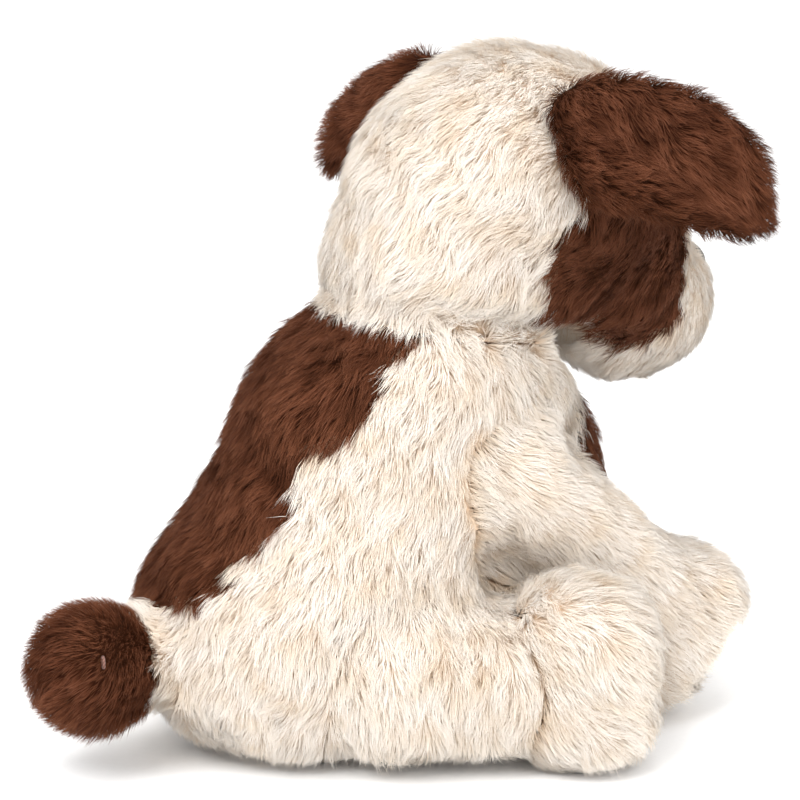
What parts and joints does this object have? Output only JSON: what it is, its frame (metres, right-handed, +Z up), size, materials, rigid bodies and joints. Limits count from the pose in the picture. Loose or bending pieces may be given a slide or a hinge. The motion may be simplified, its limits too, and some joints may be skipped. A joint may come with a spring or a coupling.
{
  "type": "plush dog",
  "caption": "Seated stuffed toy dog in long cream and brown pile, with a turning head, flopping ears, hinged legs and feet, and a wagging ball-ended tail.",
  "frame": {"origin": "middle of the flat base panel that the dog sits on, on the surface it rests on", "axes": "+Z up, the dog faces -Y, the dog's own left is +X"},
  "size_m": [0.2072, 0.2758, 0.238],
  "materials": {
    "cream_plush": "long soft pile, cream tips over a warm ochre base, combed in soft tufts",
    "brown_plush": "long soft pile, chocolate brown, darker at the roots",
    "stuffing": "white polyester fibre fill",
    "eye_plastic": "polished dark brown dome",
    "nose_plastic": "satin dark brown, lightly pebbled",
    "washer_plastic": "plain moulded white, hidden inside the head",
    "dark_thread": "twisted embroidery thread",
    "pale_thread": "twisted sewing thread"
  },
  "bodies": {
    "torso": {"torso_side_left": "cream_plush", "torso_side_right": "cream_plush", "torso_back_patch": "brown_plush", "torso_chest_patch": "brown_plush", "torso_base_panel": "cream_plush", "torso_stuffing": "stuffing"},
    "neck": {"neck_stuffing": "stuffing", "neck_seam_thread": "pale_thread"},
    "head": {"head_side_left": "cream_plush", "head_side_right": "cream_plush", "head_chin_right": "cream_plush", "eye_patch": "brown_plush", "muzzle_cover": "cream_plush", "head_stuffing": "stuffing", "eye_left": "eye_plastic", "eye_right": "eye_plastic", "eye_left_washer": "washer_plastic", "eye_right_washer": "washer_plastic", "nose": "nose_plastic", "nose_washer": "washer_plastic", "mouth_stitch": "dark_thread"},
    "tail": {"tail_base_cover": "cream_plush", "tail_tip_cover": "brown_plush", "tail_stuffing": "stuffing", "tail_thread_loop": "pale_thread"},
    "ear_left": {"ear_outer_left": "brown_plush", "ear_lining_left": "brown_plush"},
    "front_leg_left": {"front_leg_cover_left": "cream_plush", "front_paw_cover_left": "cream_plush", "front_paw_sole_left": "cream_plush", "front_leg_stuffing_left": "stuffing"},
    "hind_leg_left": {"hind_leg_cover_left": "cream_plush", "hind_leg_stuffing_left": "stuffing"},
    "hind_foot_left": {"hind_foot_cover_left": "cream_plush", "hind_foot_sole_left": "cream_plush", "hind_foot_stuffing_left": "stuffing"},
    "ear_right": {"ear_outer_right": "brown_plush", "ear_lining_right": "brown_plush"},
    "front_leg_right": {"front_leg_cover_right": "cream_plush", "front_paw_cover_right": "cream_plush", "front_paw_sole_right": "cream_plush", "front_leg_stuffing_right": "stuffing"},
    "hind_leg_right": {"hind_leg_cover_right": "cream_plush", "hind_leg_stuffing_right": "stuffing"},
    "hind_foot_right": {"hind_foot_cover_right": "cream_plush", "hind_foot_sole_right": "cream_plush", "hind_foot_stuffing_right": "stuffing"}
  },
  "joints": [
    {"name": "neck_turn", "type": "hinge", "parent": "torso", "child": "neck", "pos_m": [0, -0.046, 0.15], "axis": [0, -0.1736, 0.9848], "range_deg": [-20, 20], "stiffness_Nm_per_rad": 1.5},
    {"name": "neck_nod", "type": "hinge", "parent": "neck", "child": "head", "pos_m": [0, -0.046, 0.15], "axis": [1, 0, 0], "range_deg": [-10, 10], "stiffness_Nm_per_rad": 3},
    {"name": "tail_wag", "type": "hinge", "parent": "torso", "child": "tail", "pos_m": [0, 0.064, 0.039], "axis": [0, 0, 1], "range_deg": [-22, 22], "stiffness_Nm_per_rad": 0.15},
    {"name": "ear_flop_left", "type": "hinge", "parent": "head", "child": "ear_left", "pos_m": [0.04401, -0.06478, 0.216], "axis": [0.5248, 0.0738, -0.848], "range_deg": [-25, 30], "stiffness_Nm_per_rad": 0.08},
    {"name": "shoulder_left", "type": "hinge", "parent": "torso", "child": "front_leg_left", "pos_m": [0.039, -0.05, 0.096], "axis": [-1, 0, 0], "range_deg": [0, 20], "stiffness_Nm_per_rad": 0.5},
    {"name": "hip_left", "type": "hinge", "parent": "torso", "child": "hind_leg_left", "pos_m": [0.0405, -0.004, 0.033], "axis": [-1, 0, 0], "range_deg": [0, 12], "stiffness_Nm_per_rad": 0.6},
    {"name": "ankle_left", "type": "hinge", "parent": "hind_leg_left", "child": "hind_foot_left", "pos_m": [0.06, -0.03345, 0.031], "axis": [-0.866, -0.5, 0], "range_deg": [0, 14], "stiffness_Nm_per_rad": 0.4},
    {"name": "ear_flop_right", "type": "hinge", "parent": "head", "child": "ear_right", "pos_m": [-0.04948, -0.06782, 0.211], "axis": [0.5248, 0.0738, 0.848], "range_deg": [-25, 30], "stiffness_Nm_per_rad": 0.08},
    {"name": "shoulder_right", "type": "hinge", "parent": "torso", "child": "front_leg_right", "pos_m": [-0.039, -0.05, 0.096], "axis": [-1, 0, 0], "range_deg": [0, 20], "stiffness_Nm_per_rad": 0.5},
    {"name": "hip_right", "type": "hinge", "parent": "torso", "child": "hind_leg_right", "pos_m": [-0.0405, -0.004, 0.033], "axis": [-1, 0, 0], "range_deg": [0, 12], "stiffness_Nm_per_rad": 0.6},
    {"name": "ankle_right", "type": "hinge", "parent": "hind_leg_right", "child": "hind_foot_right", "pos_m": [-0.06, -0.03345, 0.031], "axis": [-0.866, 0.5, 0], "range_deg": [0, 14], "stiffness_Nm_per_rad": 0.4}
  ]
}
